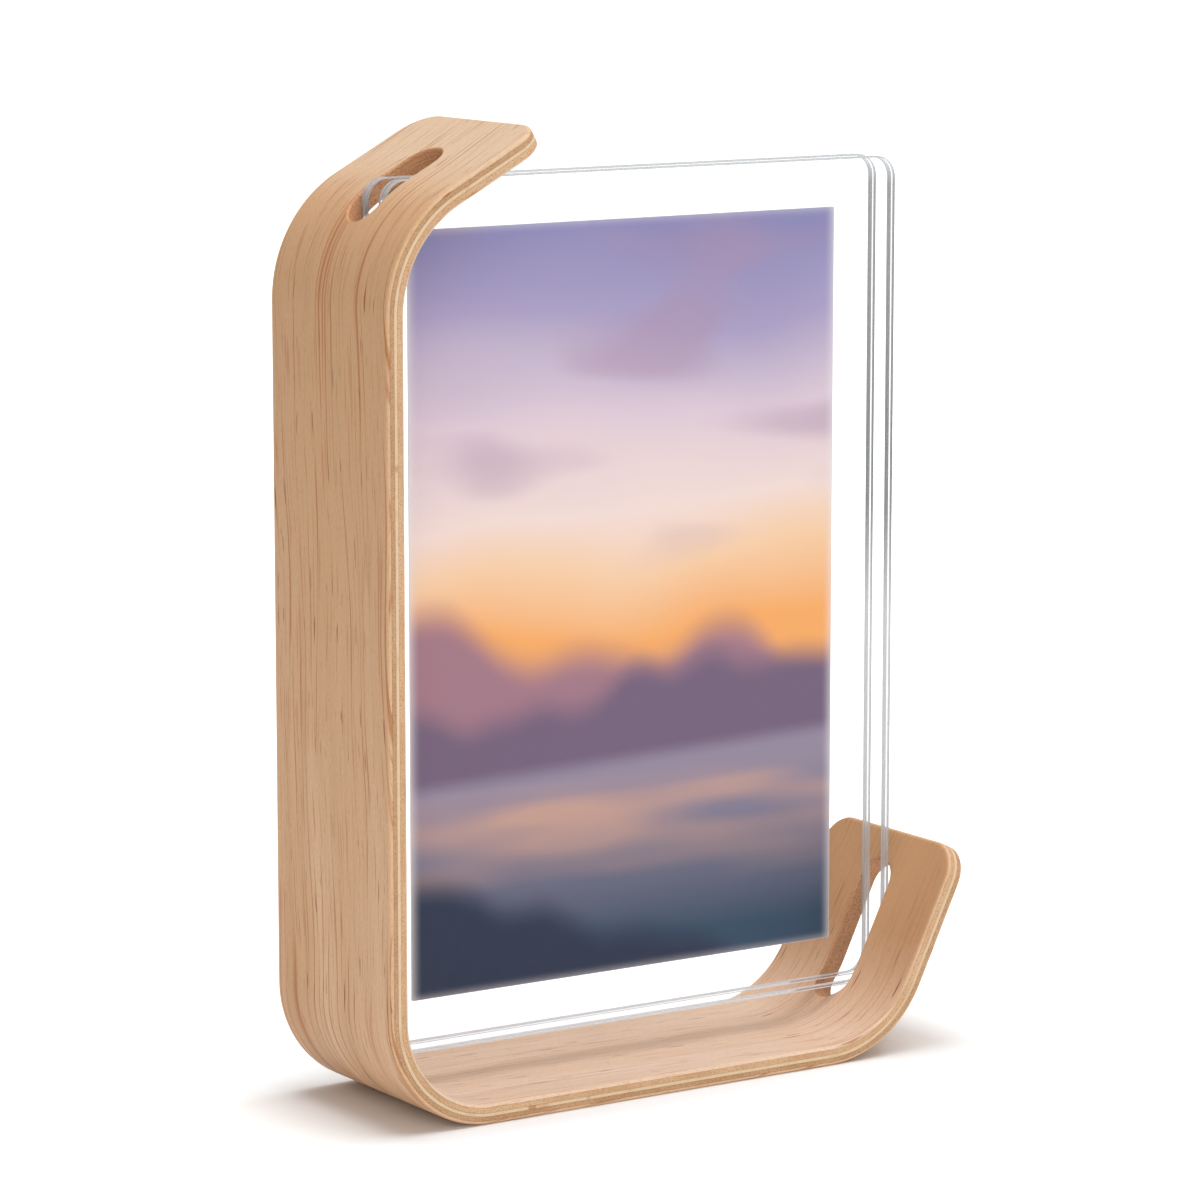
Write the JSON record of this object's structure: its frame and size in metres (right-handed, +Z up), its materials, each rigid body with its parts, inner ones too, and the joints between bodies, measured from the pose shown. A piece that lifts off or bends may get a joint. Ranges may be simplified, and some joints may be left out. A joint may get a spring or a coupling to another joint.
{
  "type": "photo stand",
  "caption": "Desk photo stand: a bent plywood strip with curled, slotted ends that hook opposite corners of clear acrylic panes, with a mounted print held between them.",
  "frame": {"origin": "on the table, under the middle of the stand", "axes": "+Z up, -Y the way the print faces, +X from the upright towards the right-hand lip"},
  "size_m": [0.1402, 0.044, 0.1937],
  "materials": {
    "face_veneer": "pale veneer, grain along the strip, satin lacquer",
    "tan_crossband": "tan veneer, grain across the strip",
    "core_veneer": "cream veneer, grain along the strip",
    "brown_crossband": "brown veneer, grain across the strip",
    "clear_acrylic": "clear polished acrylic",
    "print_paper": "satin photo paper with a soft dusk scene",
    "mount_board": "white matt board"
  },
  "bodies": {
    "stand": {"inner_face_veneer": "face_veneer", "inner_crossband": "tan_crossband", "core_veneer": "core_veneer", "outer_crossband": "brown_crossband", "outer_face_veneer": "face_veneer", "front_pane": "clear_acrylic", "rear_pane": "clear_acrylic"},
    "picture": {"photo_print": "print_paper", "mount_board": "mount_board"}
  },
  "joints": [
    {"name": "picture_slide", "type": "slide", "parent": "stand", "child": "picture", "axis": [1, 0, 0], "range_m": [-0.0082, 0.0144]}
  ]
}
